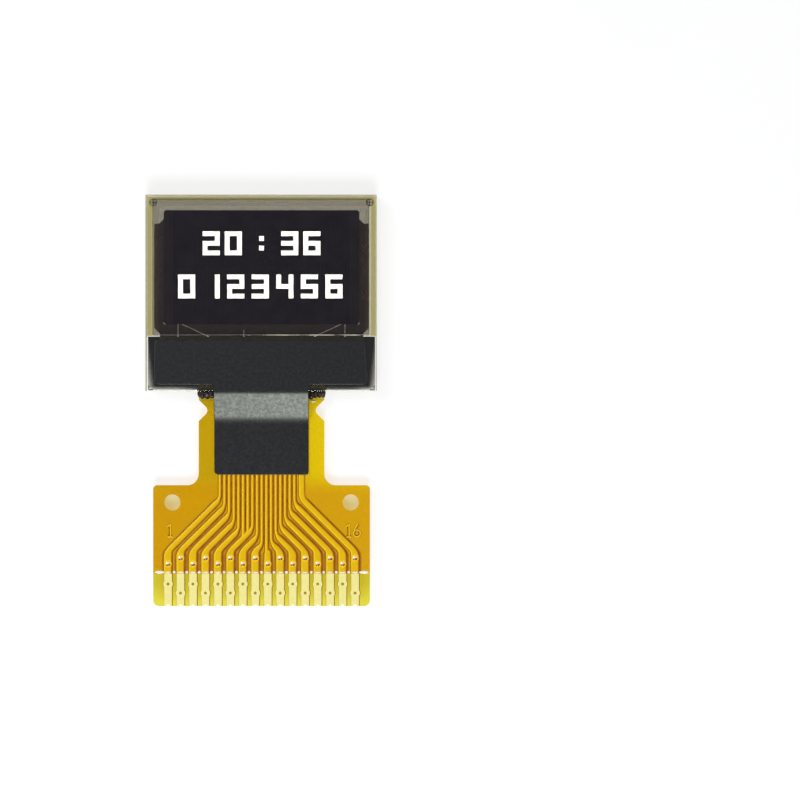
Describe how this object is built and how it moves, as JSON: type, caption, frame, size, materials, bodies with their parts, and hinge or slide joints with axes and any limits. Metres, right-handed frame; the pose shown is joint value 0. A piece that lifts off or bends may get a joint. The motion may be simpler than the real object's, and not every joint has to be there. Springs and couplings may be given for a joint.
{
  "type": "small OLED display module",
  "caption": "Small glass OLED display with a driver chip under black resin on its ledge, and a flexible circuit tail that ends in a row of solder pads.",
  "frame": {"origin": "centre of the cap glass's outer face, on which the module lies", "axes": "+X to the right as seen by a viewer of the display, +Y away from the flexible circuit, +Z out of the display"},
  "size_m": [0.012, 0.0214, 0.0012],
  "materials": {
    "substrate_glass": "clear polished glass",
    "cap_glass": "clear glass with an etched cavity",
    "polarizer": "smoke-grey film, satin",
    "sealant": "olive-yellow cured glue",
    "getter": "pale matt desiccant sheet",
    "anode": "clear conductor, grey tint",
    "emitter": "near-black organic layer",
    "lit_pixels": "white light",
    "cathode": "bright evaporated metal in fine rows",
    "cathode_border": "bright evaporated metal",
    "ridge": "bright raised edge",
    "routing": "dark olive thin metal",
    "marks": "dark thin metal",
    "chip": "grey silicon",
    "bond_film": "cured conductive film",
    "resin": "black resin, high gloss",
    "edge_glue": "dark brown cured glue, glossy",
    "tape": "near-black matt tape with fine grain",
    "base_film": "yellow polyimide film",
    "copper": "copper under amber film",
    "gold_finish": "pale gold finish",
    "front_coverlay": "amber cover film",
    "rear_copper": "copper under amber film",
    "rear_gold_finish": "pale gold finish",
    "rear_coverlay": "amber cover film",
    "barrel": "plated copper",
    "glue_beads": "clear to white cured glue"
  },
  "bodies": {
    "root": {"substrate_glass": "substrate_glass", "cap_glass": "cap_glass", "polarizer": "polarizer", "sealant_frame": "sealant", "getter_sheet": "getter", "anode_columns": "anode", "emitter_layer": "emitter", "lit_pixels": "lit_pixels", "cathode_rows": "cathode", "cathode_border": "cathode_border", "separator_ridge": "ridge", "routing_metal": "routing", "alignment_marks": "marks", "driver_chip": "chip", "chip_bond_film": "bond_film", "flex_bond_film": "bond_film", "chip_resin": "resin", "edge_glue": "edge_glue", "shield_tape": "tape", "flex_base_film": "base_film", "front_traces": "copper", "front_plating": "gold_finish", "front_coverlay": "front_coverlay", "rear_contacts": "rear_copper", "rear_plating": "rear_gold_finish", "rear_coverlay": "rear_coverlay", "via_barrels": "barrel", "pad_barrels": "barrel", "pin_numbers": "copper", "front_glue_beads": "glue_beads", "rear_glue_beads": "glue_beads"}
  },
  "joints": []
}
